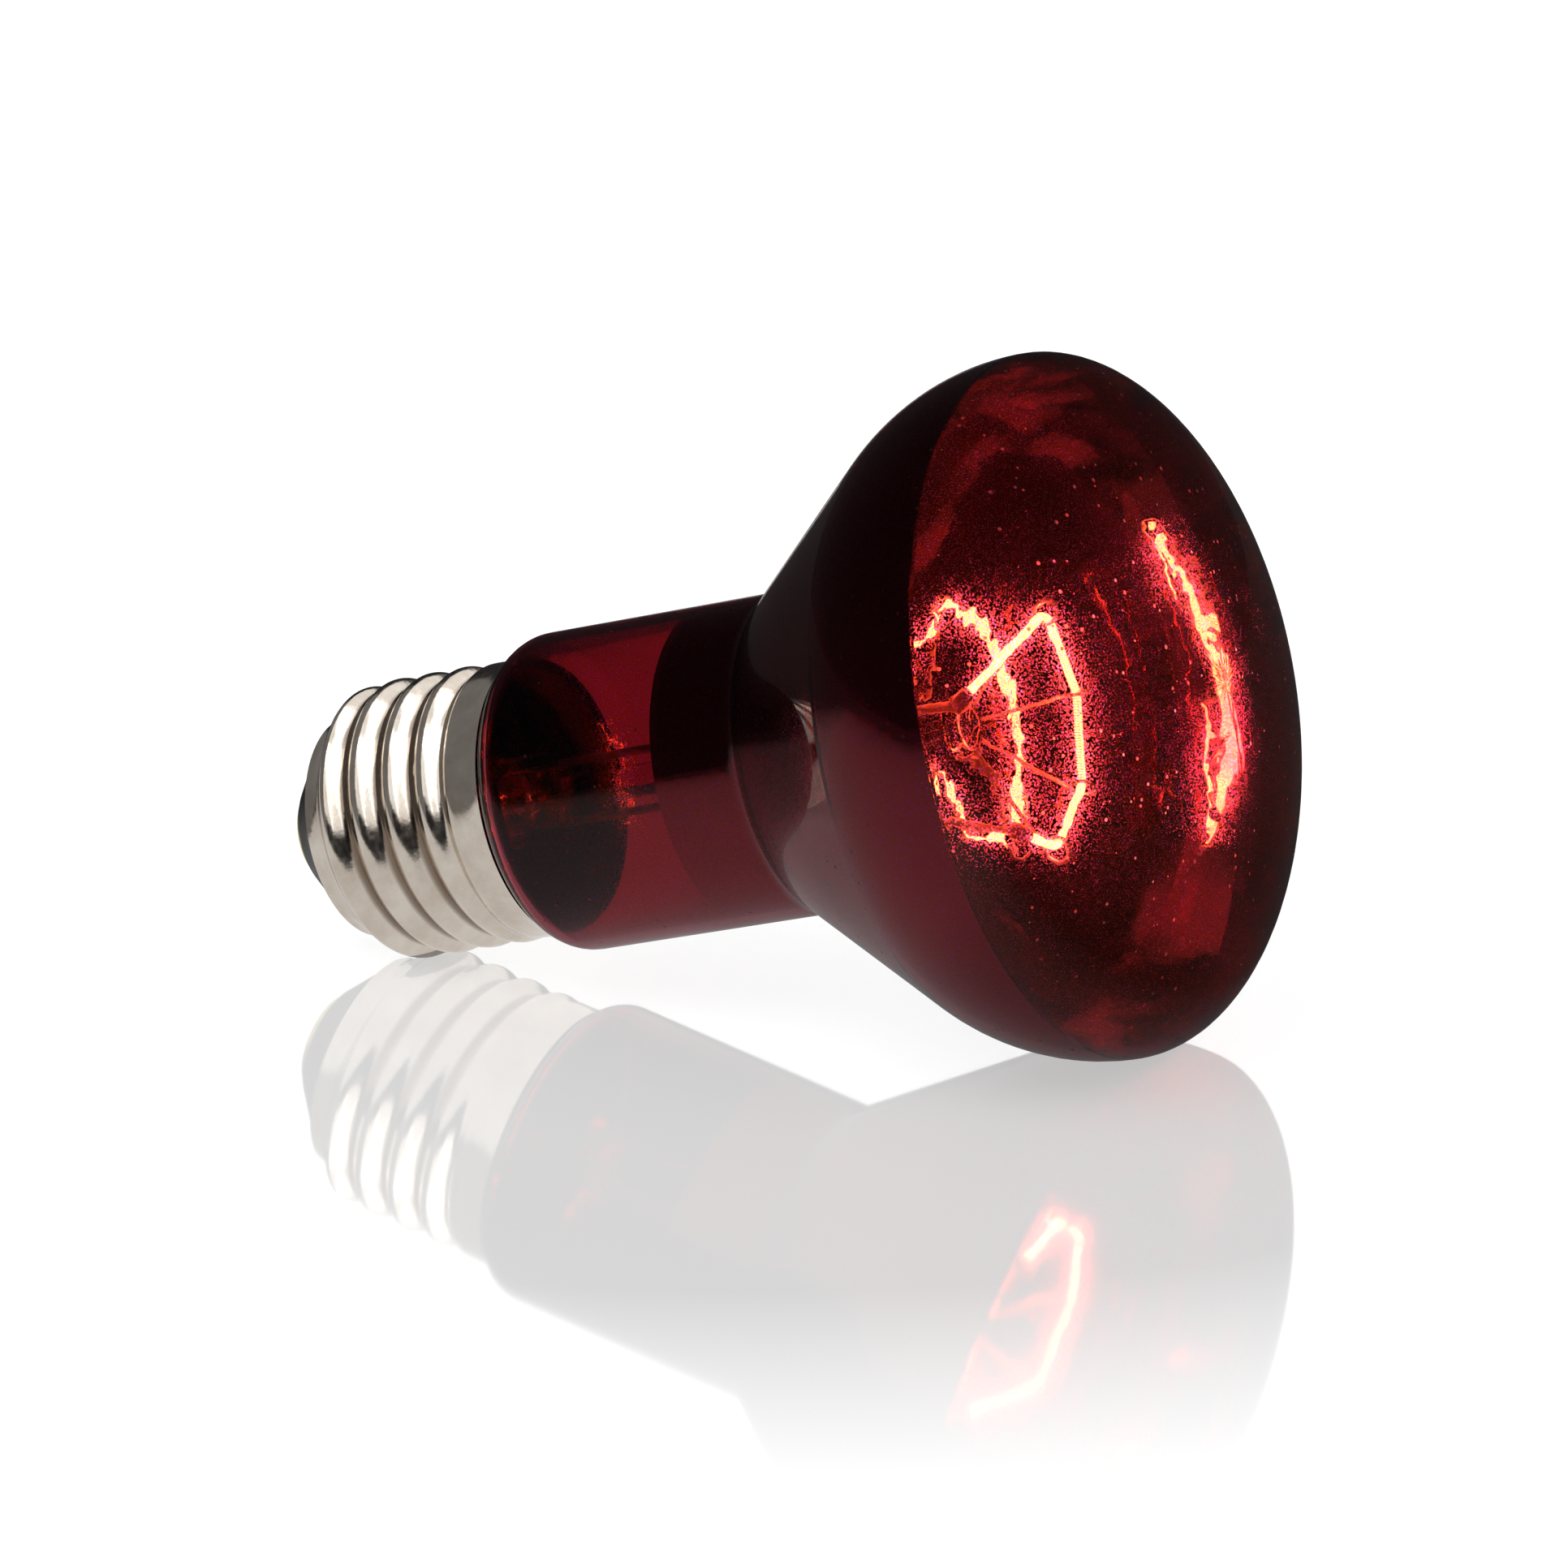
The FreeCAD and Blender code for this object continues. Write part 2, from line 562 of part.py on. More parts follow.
def arbor_rod():
    """Glass rod up from the press, melted to a button that holds the support wires."""
    length = Z_BUTTON - Z_PRESS_TOP
    rod = Part.makeCylinder(ARBOR_RADIUS, length, FreeCAD.Vector(0, 0, Z_PRESS_TOP))
    top = half_plane(0, Z_BUTTON + BUTTON_HALF_HEIGHT)
    bottom = half_plane(0, Z_BUTTON - BUTTON_HALF_HEIGHT)
    oval = Part.Ellipse(half_plane(BUTTON_RADIUS, Z_BUTTON), top, half_plane(0, Z_BUTTON))
    half = Part.Arc(oval, -math.pi / 2, math.pi / 2).toBSpline().toShape()
    body = rod.fuse(revolve([half, line(top, bottom)]))
    for place in range(SUPPORT_COUNT):
        foot, tip, _, _ = support_frame(place)
        body = body.cut(Part.makeCylinder(SUPPORT_RADIUS + BOND_GAP, BUTTON_RADIUS, foot, tip - foot))
    return body


def inner_lead(side):
    """Stiff wire from the press to one end of the filament, pinched round the coil."""
    points = filament_points()
    end, towards = (points[0], points[1]) if side < 0 else (points[-1], points[-2])
    along = (towards - end).normalize()
    foot = FreeCAD.Vector(side * LEAD_OFFSET, 0, Z_PRESS_TOP)
    clamp_start = end - along * CLAMP_LENGTH / 2
    lead = rod_along([
        foot - AXIS * LEAD_SEAL_DEPTH,
        foot + AXIS * INNER_LEAD_RISE,
        clamp_start,
    ], INNER_LEAD_BEND, INNER_LEAD_RADIUS)
    clamp = Part.makeCylinder(FILAMENT_RADIUS + CLAMP_WALL, CLAMP_LENGTH, clamp_start, along)
    knuckle = Part.makeSphere(FILAMENT_RADIUS + CLAMP_WALL, clamp_start)
    body = lead.fuse([clamp, knuckle])
    bore = Part.makeCylinder(FILAMENT_RADIUS + BOND_GAP, CLAMP_LENGTH, end - along * BOND_GAP, along)
    return body.cut(bore)


def floor_reach(radius, z, tilt):
    """How far a point of the underside lies below the axis origin once laid down."""
    return radius * math.cos(tilt) - z * math.sin(tilt)


def crest_reach(tilt):
    shares = [step / SEARCH_COUNT - 0.5 for step in range(SEARCH_COUNT + 1)]
    heights = [Z_FIRST_CREST + THREAD_PITCH * share for share in shares]
    return max(floor_reach(shell_radius(z, 0), z, tilt) for z in heights)


def bell_reach(tilt):
    return floor_reach(BULB_RADIUS - BELL_ROUND, Z_RIM, tilt) + BELL_ROUND


def resting_tilt():
    """Rise of the axis at which the first crest and the bell reach the floor together."""
    low = 0
    high = BELL_ANGLE
    for _ in range(SEARCH_COUNT):
        tilt = (low + high) / 2
        if bell_reach(tilt) > crest_reach(tilt):
            low = tilt
        else:
            high = tilt
    return tilt


def lying_placement(widest):
    """Lays the upright lamp on the floor, with its face to +X, centred over the origin."""
    tilt = resting_tilt()
    turn = FreeCAD.Rotation(FreeCAD.Vector(0, 1, 0), 90 - math.degrees(tilt))
    laid = FreeCAD.Placement(FreeCAD.Vector(0, 0, 0), turn)
    boxes = [piece.transformGeometry(laid.toMatrix()).optimalBoundingBox() for piece in widest]
    low = min(box.XMin for box in boxes)
    high = max(box.XMax for box in boxes)
    return FreeCAD.Placement(FreeCAD.Vector(-(low + high) / 2, 0, bell_reach(tilt)), turn)


def build():
    pieces = {
        "glass_envelope": glass_envelope(),
        "mirror_coating": mirror_coating(),
        "screw_shell": screw_shell(),
        "insulator": insulator(),
        "centre_contact": centre_contact(),
        "contact_solder": contact_solder(),
        "side_solder": side_solder(),
        "basing_cement": basing_cement(),
        "stem": stem(),
        "exhaust_tube": exhaust_tube(),
        "arbor_rod": arbor_rod(),
        "outer_lead_centre": outer_lead_centre(),
        "outer_lead_side": outer_lead_side(),
        "inner_lead_upper": inner_lead(-1),
        "inner_lead_lower": inner_lead(1),
        "filament": filament(),
    }
    for place in range(SUPPORT_COUNT):
        pieces["support_wire_%d" % (place + 1)] = support_wire(place)
    ends = [pieces["glass_envelope"], pieces["contact_solder"], pieces["centre_contact"]]
    placement = lying_placement(ends)
    os.makedirs("parts", exist_ok=True)
    for name, shape in pieces.items():
        shape.Placement = placement.multiply(shape.Placement)
        shape.exportStep("parts/%s.step" % name)
        print(name, shape.isValid(), len(shape.Solids), round(shape.Volume, 3))
    print("tilt", round(math.degrees(resting_tilt()), 3), "length", round(Z_FACE, 3))


build()
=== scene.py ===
import math

import bmesh
import bpy
from mathutils import Matrix, Quaternion, Vector

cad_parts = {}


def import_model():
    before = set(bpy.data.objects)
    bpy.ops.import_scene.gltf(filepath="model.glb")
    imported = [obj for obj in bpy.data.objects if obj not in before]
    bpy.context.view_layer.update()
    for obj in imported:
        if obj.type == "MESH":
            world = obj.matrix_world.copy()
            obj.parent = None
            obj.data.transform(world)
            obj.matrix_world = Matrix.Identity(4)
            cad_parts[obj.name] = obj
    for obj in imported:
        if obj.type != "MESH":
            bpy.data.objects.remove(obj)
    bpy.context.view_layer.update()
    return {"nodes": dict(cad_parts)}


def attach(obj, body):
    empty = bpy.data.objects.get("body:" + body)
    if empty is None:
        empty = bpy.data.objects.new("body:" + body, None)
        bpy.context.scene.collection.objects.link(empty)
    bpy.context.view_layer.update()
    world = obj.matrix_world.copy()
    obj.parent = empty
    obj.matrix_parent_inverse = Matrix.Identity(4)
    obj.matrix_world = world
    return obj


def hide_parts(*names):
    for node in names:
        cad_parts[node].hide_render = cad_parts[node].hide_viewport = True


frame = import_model()
nodes = frame["nodes"]

MM = 0.001
WHITE = (1.0, 1.0, 1.0, 1.0)

# The lamp lies with its axis rising from +X; local Z runs along it from the contact's tip.
LAMP_BASE = Vector((-47.24239, 0.0, 9.99491)) * MM
LAMP_TILT = math.radians(15.11963)
LAMP_TURN = Matrix.Rotation(math.pi / 2 - LAMP_TILT, 4, "Y")
LAMP = Matrix.Translation(LAMP_BASE) @ LAMP_TURN
CAP_MIDDLE = LAMP @ Vector((0, 0, 15 * MM))

# Camera of the photograph
CAMERA_TARGET = LAMP @ Vector((0, 0, 50 * MM))
CAMERA_DISTANCE = 0.70194
CAMERA_AZIMUTH = math.radians(26.841)
CAMERA_ELEVATION = math.radians(14.406)
CAMERA_AIM_RIGHT = 0.629 * MM
CAMERA_AIM_UP = -2.444 * MM
CAMERA_ROLL = math.radians(-0.018)
CAMERA_LENS = 177.41
CAMERA_SENSOR = 36.0
CAMERA_CLIP = (0.01, 20.0)


def outward(azimuth, elevation):
    """A direction by its bearing from the camera's side and its height, in degrees."""
    bearing = CAMERA_AZIMUTH + math.radians(azimuth)
    rise = math.radians(elevation)
    flat = math.cos(rise)
    return Vector((math.sin(bearing) * flat, -math.cos(bearing) * flat, math.sin(rise)))


def add_node(tree, kind, values=None, **settings):
    """A node with its settings and its unlinked inputs, named or numbered."""
    made = tree.nodes.new(kind)
    for key, value in settings.items():
        setattr(made, key, value)
    for key, value in (values or {}).items():
        made.inputs[key].default_value = value
    return made


def empty_material(name):
    """A material with nothing but its output, whose surface is left to fill."""
    made = bpy.data.materials.new(name)
    made.use_nodes = True
    tree = made.node_tree
    tree.nodes.clear()
    output = add_node(tree, "ShaderNodeOutputMaterial")
    return made, tree, output.inputs["Surface"]


def new_material(name, values):
    """A material of one principled shader with plain values on its own sockets."""
    made, tree, surface = empty_material(name)
    shader = add_node(tree, "ShaderNodeBsdfPrincipled", values)
    tree.links.new(shader.outputs["BSDF"], surface)
    return made, tree, shader


def either(tree, share, first, second, surface):
    """Two shaders on one surface, the second by a share."""
    mix = add_node(tree, "ShaderNodeMixShader")
    tree.links.new(share, mix.inputs[0])
    tree.links.new(first.outputs[0], mix.inputs[1])
    tree.links.new(second.outputs[0], mix.inputs[2])
    tree.links.new(mix.outputs[0], surface)


def combine(tree, operation, first, second):
    """One operation on two values, of which the second may be a plain number."""
    made = add_node(tree, "ShaderNodeMath", operation=operation)
    tree.links.new(first, made.inputs[0])
    if isinstance(second, float):
        made.inputs[1].default_value = second
    else:
        tree.links.new(second, made.inputs[1])
    return made.outputs[0]


def blend(tree, share, first, second):
    """Two levels mixed by a share; either may be a plain number."""
    made = add_node(tree, "ShaderNodeMix")
    tree.links.new(share, made.inputs["Factor"])
    for socket, level in (("A", first), ("B", second)):
        if isinstance(level, float):
            made.inputs[socket].default_value = level
        else:
            tree.links.new(level, made.inputs[socket])
    return made.outputs["Result"]


def spread(tree, source, low, high, start=0.3, end=0.7):
    """A number that runs from low to high as the source runs from start to end."""
    made = add_node(tree, "ShaderNodeMapRange", {
        "From Min": start, "From Max": end, "To Min": low, "To Max": high})
    tree.links.new(source, made.inputs["Value"])
    return made.outputs["Result"]


def rising(tree, source, start, end):
    """Zero up to a start, then rising to one at an end."""
    return spread(tree, source, 0.0, 1.0, start, end)


def falling(tree, source, start, end):
    """One up to a start, then falling to zero at an end."""
    return spread(tree, source, 1.0, 0.0, start, end)


def band(tree, source, rise, fall):
    """One between two stretches in which a value rises from zero and falls back to it."""
    return combine(tree, "MULTIPLY", rising(tree, source, *rise), falling(tree, source, *fall))


def tint(tree, source, low, high, start=0.35, end=0.65):
    """Two colours blended by a source value between two of its levels."""
    ramp = add_node(tree, "ShaderNodeValToRGB")
    first, last = ramp.color_ramp.elements
    first.position, first.color = start, low
    last.position, last.color = end, high
    tree.links.new(source, ramp.inputs["Fac"])
    return ramp.outputs["Color"]


def recolour(tree, share, colour, other):
    """A colour turned into another one by a share."""
    made = add_node(tree, "ShaderNodeMix", data_type="RGBA")
    made.inputs[7].default_value = other
    tree.links.new(share, made.inputs[0])
    tree.links.new(colour, made.inputs[6])
    return made.outputs[2]


def bump(tree, shader, height, strength, distance):
    """Relief on a shader's surface."""
    made = add_node(tree, "ShaderNodeBump", {"Strength": strength, "Distance": distance})
    tree.links.new(height, made.inputs["Height"])
    tree.links.new(made.outputs["Normal"], shader.inputs["Normal"])


def own_place(tree):
    """The shaded point in its object's own axes."""
    return add_node(tree, "ShaderNodeTexCoord").outputs["Object"]


def split(tree, vector):
    """The three parts of a vector, by their letters."""
    made = add_node(tree, "ShaderNodeSeparateXYZ")
    tree.links.new(vector, made.inputs[0])
    return made.outputs


def length_of(tree, vector):
    """The length of a vector."""
    made = add_node(tree, "ShaderNodeVectorMath", operation="LENGTH")
    tree.links.new(vector, made.inputs[0])
    return made.outputs["Value"]


def place_noise(tree, scale, detail, rough):
    """Noise fixed to the object, with its size given per metre."""
    noise = add_node(tree, "ShaderNodeTexNoise", {
        "Scale": scale, "Detail": detail, "Roughness": rough})
    tree.links.new(own_place(tree), noise.inputs["Vector"])
    return noise.outputs["Fac"]


def cells(tree, scale):
    """Scattered points fixed to the object, with their number given per metre."""
    made = add_node(tree, "ShaderNodeTexVoronoi", {"Scale": scale})
    tree.links.new(own_place(tree), made.inputs["Vector"])
    return made.outputs


def lamp_place(tree, source="Position"):
    """The shaded point, or the surface's own direction, in the lamp's axes."""
    back = LAMP.inverted()
    where = add_node(tree, "ShaderNodeNewGeometry")
    turn = add_node(tree, "ShaderNodeMapping", {"Rotation": back.to_euler()})
    if source == "Position":
        turn.inputs["Location"].default_value = back.to_translation()
    tree.links.new(where.outputs[source], turn.inputs["Vector"])
    return turn.outputs["Vector"]


def flat_part(tree, vector):
    """A vector in the lamp's axes without its part along the axis."""
    made = add_node(tree, "ShaderNodeVectorMath", {1: (1, 1, 0)}, operation="MULTIPLY")
    tree.links.new(vector, made.inputs[0])
    return made.outputs["Vector"]


def axis_distance(tree):
    """How far a point lies from the lamp's axis, in metres."""
    return length_of(tree, flat_part(tree, lamp_place(tree)))


def axis_height(tree):
    """How far up the lamp's axis a point lies, in metres."""
    return split(tree, lamp_place(tree))["Z"]


def facing_axis(tree):
    """One on surfaces that face the lamp's axis, else zero."""
    dot = add_node(tree, "ShaderNodeVectorMath", operation="DOT_PRODUCT")
    tree.links.new(flat_part(tree, lamp_place(tree)), dot.inputs[0])
    tree.links.new(lamp_place(tree, "Normal"), dot.inputs[1])
    return combine(tree, "LESS_THAN", dot.outputs["Value"], 0.0)


# In each finish a noise is its size per metre, detail and roughness, and a relief is its
# strength and height.
DUST_PER_METRE = 900.0
DUST_SHARE = 0.35
DUST_SIZE = 0.18
DUST_ROUGHNESS = 0.45
BLOOM_PER_METRE = 5000.0
BLOOM_SIZE = 0.34
BLOOM_ROUGHNESS = 0.17
BLOOM_COLOUR = (0.62, 0.1, 1.0, 1)
RUBY_TONES = ((0.57, 0.085, 0.064, 1), (0.63, 0.1, 0.076, 1))
RUBY_CLOUD = (60.0, 2.0, 0.5)
RUBY_SMEAR = (220.0, 4.0, 0.6)
RUBY_POLISH = (0.006, 0.02)
RUBY_RIPPLE = (90.0, 1.0, 0.5)
RUBY_RELIEF = (0.04, 1.0 * MM)
RUBY_IOR = 1.5


def dust(tree):
    """The polish of scattered specks of dust, zero between them."""
    points = cells(tree, DUST_PER_METRE)
    chance = add_node(tree, "ShaderNodeSeparateColor")
    tree.links.new(points["Color"], chance.inputs[0])
    chosen = combine(tree, "LESS_THAN", chance.outputs["Red"], DUST_SHARE)
    size = combine(tree, "MULTIPLY", chance.outputs["Green"], DUST_SIZE)
    near = combine(tree, "LESS_THAN", points["Distance"], size)
    speck = combine(tree, "MULTIPLY", chosen, near)
    return combine(tree, "MULTIPLY", speck, DUST_ROUGHNESS)


def bloom(tree):
    """One on the grains of a film too fine to see, which spreads a glow."""
    return combine(tree, "LESS_THAN", cells(tree, BLOOM_PER_METRE)["Distance"], BLOOM_SIZE)


def ruby_glass():
    """Deep red glass with specks of dust and a fine bloom."""
    made, tree, shader = new_material("ruby_glass", {
        "Transmission Weight": 1.0, "IOR": RUBY_IOR})
    grains = bloom(tree)
    colour = tint(tree, place_noise(tree, *RUBY_CLOUD), *RUBY_TONES)
    tree.links.new(recolour(tree, grains, colour, BLOOM_COLOUR), shader.inputs["Base Color"])
    polish = spread(tree, place_noise(tree, *RUBY_SMEAR), *RUBY_POLISH)
    for film in (dust(tree), combine(tree, "MULTIPLY", grains, BLOOM_ROUGHNESS)):
        polish = combine(tree, "MAXIMUM", polish, film)
    tree.links.new(polish, shader.inputs["Roughness"])
    bump(tree, shader, place_noise(tree, *RUBY_RIPPLE), *RUBY_RELIEF)
    return made


MIRROR_TONES = ((0.78, 0.78, 0.80, 1), (0.9, 0.9, 0.91, 1))
MIRROR_CLOUD = (260.0, 4.0, 0.6)
MIRROR_POLISH = (0.004, 0.012)
MIRROR_WAVE = (260.0, 2.0, 0.5)
MIRROR_RELIEF = (0.075, 1.0 * MM)
BRIGHT_METAL = 0.997
WORN_METAL = 0.905
WORN_COLOUR = (0.9, 0.5, 1.0, 1)
WORN_PATCHES = (60.0, 2.0, 0.5)
WORN_LEVELS = (0.44, 0.52)
WORN_HEIGHTS = (73.0 * MM, 73.8 * MM)


def worn_edge(tree):
    """One in the patches near the rim where the film has worn, else zero."""
    patch = rising(tree, place_noise(tree, *WORN_PATCHES), *WORN_LEVELS)
    edge = rising(tree, axis_height(tree), *WORN_HEIGHTS)
    return combine(tree, "MULTIPLY", edge, patch)


def mirror_film():
    """Bright film, patchily dull towards its edge."""
    made, tree, shader = new_material("mirror_film", {})
    cloud = place_noise(tree, *MIRROR_CLOUD)
    worn = worn_edge(tree)
    colour = recolour(tree, worn, tint(tree, cloud, *MIRROR_TONES), WORN_COLOUR)
    metal_share = spread(tree, worn, BRIGHT_METAL, WORN_METAL, 0.0, 1.0)
    tree.links.new(colour, shader.inputs["Base Color"])
    tree.links.new(metal_share, shader.inputs["Metallic"])
    tree.links.new(spread(tree, cloud, *MIRROR_POLISH), shader.inputs["Roughness"])
    bump(tree, shader, place_noise(tree, *MIRROR_WAVE), *MIRROR_RELIEF)
    return made


NICKEL_TONES = ((0.62, 0.535, 0.45, 1), (0.76, 0.685, 0.6, 1))
NICKEL_CLOUD = (240.0, 5.0, 0.62)
NICKEL_GRAIN = (1500.0, 4.0, 0.6)
NICKEL_POLISH = (0.1, 0.22)
NICKEL_RELIEF = (0.12, 0.1 * MM)
# Painted shade in the roots of the thread: its brown colour and the radii it spans
ROOT_SHADE_COLOUR = (0.2, 0.14, 0.1, 1)
ROOT_SHADE_RADII = (12.0 * MM, 12.25 * MM)
THREAD_ENDS = ((9.0 * MM, 9.8 * MM), (20.6 * MM, 21.4 * MM))
# Painted shade: the near-black colour of the inside of the shell
INSIDE_SHADE_COLOUR = (0.05, 0.04, 0.03, 1)


def nickel():
    """Bright plate with painted shade: dark brown in the roots of the thread and near black
    inside the shell.
    """
    made, tree, shader = new_material("nickel_cap", {"Metallic": 1.0})
    plate = tint(tree, place_noise(tree, *NICKEL_CLOUD), *NICKEL_TONES)
    # Painted shade: the roots of the thread, between the thread's ends, are darkened brown
    root = falling(tree, axis_distance(tree), *ROOT_SHADE_RADII)
    root = combine(tree, "MULTIPLY", root, band(tree, axis_height(tree), *THREAD_ENDS))
    plate = recolour(tree, root, plate, ROOT_SHADE_COLOUR)
    # Painted shade: surfaces inside the shell, facing the axis, are painted near black
    plate = recolour(tree, facing_axis(tree), plate, INSIDE_SHADE_COLOUR)
    tree.links.new(plate, shader.inputs["Base Color"])
    grain = place_noise(tree, *NICKEL_GRAIN)
    tree.links.new(spread(tree, grain, *NICKEL_POLISH), shader.inputs["Roughness"])
    bump(tree, shader, grain, *NICKEL_RELIEF)
    return made


def mottled(name, values, noise, tones, polish, relief):
    """A finish whose tone, polish and relief follow one noise."""
    made, tree, shader = new_material(name, values)
    cloud = place_noise(tree, *noise)
    tree.links.new(tint(tree, cloud, *tones), shader.inputs["Base Color"])
    tree.links.new(spread(tree, cloud, *polish), shader.inputs["Roughness"])
    bump(tree, shader, cloud, *relief)
    return made


METAL_DETAIL = (4.0, 0.6)
METAL_RELIEF = (0.15, 0.1 * MM)
# Wire and sheet metals: tones, polish and the size of their mottling per metre
METALS = {
    "nickel_wire": (((0.45, 0.43, 0.40, 1), (0.66, 0.64, 0.60, 1)), (0.25, 0.45), 900.0),
    "copper_wire": (((0.55, 0.30, 0.17, 1), (0.76, 0.46, 0.30, 1)), (0.25, 0.45), 900.0),
    "contact_brass": (((0.60, 0.45, 0.20, 1), (0.76, 0.62, 0.34, 1)), (0.25, 0.45), 700.0),
    "solder": (((0.5, 0.5, 0.49, 1), (0.72, 0.72, 0.70, 1)), (0.3, 0.55), 900.0),
    "support_metal": (((0.35, 0.34, 0.33, 1), (0.52, 0.51, 0.5, 1)), (0.3, 0.5), 1200.0),
}


def metal(name):
    """Plain wire or sheet metal with uneven tone and polish."""
    tones, polish, scale = METALS[name]
    noise = (scale,) + METAL_DETAIL
    return mottled(name, {"Metallic": 1.0}, noise, tones, polish, METAL_RELIEF)


INSULATOR_GLAZE = {"IOR": 1.5, "Coat Weight": 0.4, "Coat Roughness": 0.1}
INSULATOR_TONES = ((0.008, 0.008, 0.009, 1), (0.028, 0.026, 0.026, 1))
INSULATOR_CLOUD = (500.0, 4.0, 0.6)
INSULATOR_POLISH = (0.2, 0.4)
INSULATOR_RELIEF = (0.2, 0.2 * MM)


def black_glass():
    """Moulded black glass with a soft shine."""
    return mottled("black_insulator", INSULATOR_GLAZE, INSULATOR_CLOUD, INSULATOR_TONES,
                   INSULATOR_POLISH, INSULATOR_RELIEF)


CEMENT_IOR = 1.45
CEMENT_TONES = ((0.035, 0.027, 0.02, 1), (0.085, 0.068, 0.052, 1))
CEMENT_GRIT = (2500.0, 6.0, 0.7)
CEMENT_POLISH = (0.75, 0.95)
CEMENT_RELIEF = (0.5, 0.3 * MM)


def cement():
    """Gritty brown cement."""
    return mottled("cement", {"IOR": CEMENT_IOR}, CEMENT_GRIT, CEMENT_TONES,
                   CEMENT_POLISH, CEMENT_RELIEF)


CLEAR_IOR = 1.52
CLEAR_TONES = ((0.88, 0.91, 0.88, 1), (0.96, 0.97, 0.96, 1))
CLEAR_SEED = (700.0, 3.0, 0.5)
CLEAR_POLISH = (0.02, 0.07)
CLEAR_WAVE = (300.0, 1.0, 0.5)
CLEAR_RELIEF = (0.08, 0.5 * MM)


def clear_glass():
    """Worked clear glass, a little wavy."""
    made, tree, shader = new_material("clear_glass", {
        "Transmission Weight": 1.0, "IOR": CLEAR_IOR})
    seed = place_noise(tree, *CLEAR_SEED)
    tree.links.new(tint(tree, seed, *CLEAR_TONES), shader.inputs["Base Color"])
    tree.links.new(spread(tree, seed, *CLEAR_POLISH), shader.inputs["Roughness"])
    bump(tree, shader, place_noise(tree, *CLEAR_WAVE), *CLEAR_RELIEF)
    return made


TUNGSTEN_COLOUR = (0.3, 0.28, 0.26, 1)
TUNGSTEN_ROUGHNESS = 0.5
GLOW_TONES = ((1.0, 0.3, 0.11, 1), (1.0, 0.36, 0.14, 1))
GLOW_CLOUD = (200.0, 2.0, 0.5)
GLOW_STRENGTH = 200.0


def glowing_tungsten():
    """Tungsten at a glow that is uneven along the wire."""
    made, tree, shader = new_material("tungsten", {
        "Base Color": TUNGSTEN_COLOUR, "Metallic": 1.0, "Roughness": TUNGSTEN_ROUGHNESS,
        "Emission Strength": GLOW_STRENGTH})
    glow = tint(tree, place_noise(tree, *GLOW_CLOUD), *GLOW_TONES)
    tree.links.new(glow, shader.inputs["Emission Color"])
    return made


# Route of the filament, repeated from the source
FILAMENT_HEIGHT = 75.0859 * MM
FILAMENT_RING = 12.5 * MM
FILAMENT_END = 10.8 * MM
FILAMENT_END_ANGLES = (160.0, -117.0)
FILAMENT_ANGLES = (37.0, -3.0, -43.0, -83.0)
FILAMENT_BEND = 1.5 * MM
BEND_STEPS = 10
COIL_RADIUS = 0.33 * MM
COIL_WIRE = 0.09 * MM
COIL_PITCH = 0.26 * MM
COIL_STEPS = 14
WIRE_SIDES = 6
SHORTEST_STEP = 1e-9


def around(radius, degrees, height):
    """A point round the lamp's axis: 90 is the upper side, 180 the viewer's side."""
    turn = math.radians(degrees)
    return Vector((-radius * math.sin(turn), radius * math.cos(turn), height))


def filament_corners():
    """The ends of the filament and the corners where the spokes hold it, in order."""
    first, last = [around(FILAMENT_END, angle, FILAMENT_HEIGHT) for angle in FILAMENT_END_ANGLES]
    ring = [around(FILAMENT_RING, angle, FILAMENT_HEIGHT) for angle in FILAMENT_ANGLES]
    return [first] + ring + [last]


def rounded(points, radius, steps):
    """Straight runs with each inner corner turned on a tangent arc."""
    path = [points[0]]
    for before, corner, after in zip(points, points[1:], points[2:]):
        back = (before - corner).normalized()
        ahead = (after - corner).normalized()
        half = back.angle(ahead) / 2
        centre = corner + (back + ahead).normalized() * (radius / math.sin(half))
        start = corner + back * (radius / math.tan(half)) - centre
        end = corner + ahead * (radius / math.tan(half)) - centre
        turn = start.rotation_difference(end)
        for step in range(steps + 1):
            path.append(centre + Quaternion().slerp(turn, step / steps) @ start)
    return path + [points[-1]]


def along(path, spacing):
    """Points at even spacing along a path, with the direction at each."""
    made = []
    left = 0.0
    for a, b in zip(path, path[1:]):
        length = (b - a).length
        if length < SHORTEST_STEP:
            continue
        at = left
        while at < length:
            made.append((a.lerp(b, at / length), (b - a) / length))
            at += spacing
        left = at - length
    return made


def helix(path, up, radius, pitch, steps):
    """Points of a coil wound round a path that stays square to one direction."""
    made = []
    for index, (point, direction) in enumerate(along(path, pitch / steps)):
        side = direction.cross(up).normalized()
        turn = 2 * math.pi * index / steps
        made.append(point + (side * math.cos(turn) + up * math.sin(turn)) * radius)
    return made


def across_line(points):
    """Each point of a line, with two directions across it that twist as little as they can."""
    across = None
    for index, point in enumerate(points):
        ahead = points[min(index + 1, len(points) - 1)] - points[max(index - 1, 0)]
        ahead.normalize()
        if across is None:
            across = ahead.orthogonal()
        across = (across - ahead * across.dot(ahead)).normalized()
        yield point, across, ahead.cross(across)


def mesh_object(name, shape):
    """A finished shape as an object in the scene."""
    mesh = bpy.data.meshes.new(name)
    shape.to_mesh(mesh)
    shape.free()
    made = bpy.data.objects.new(name, mesh)
    bpy.context.scene.collection.objects.link(made)
    return made


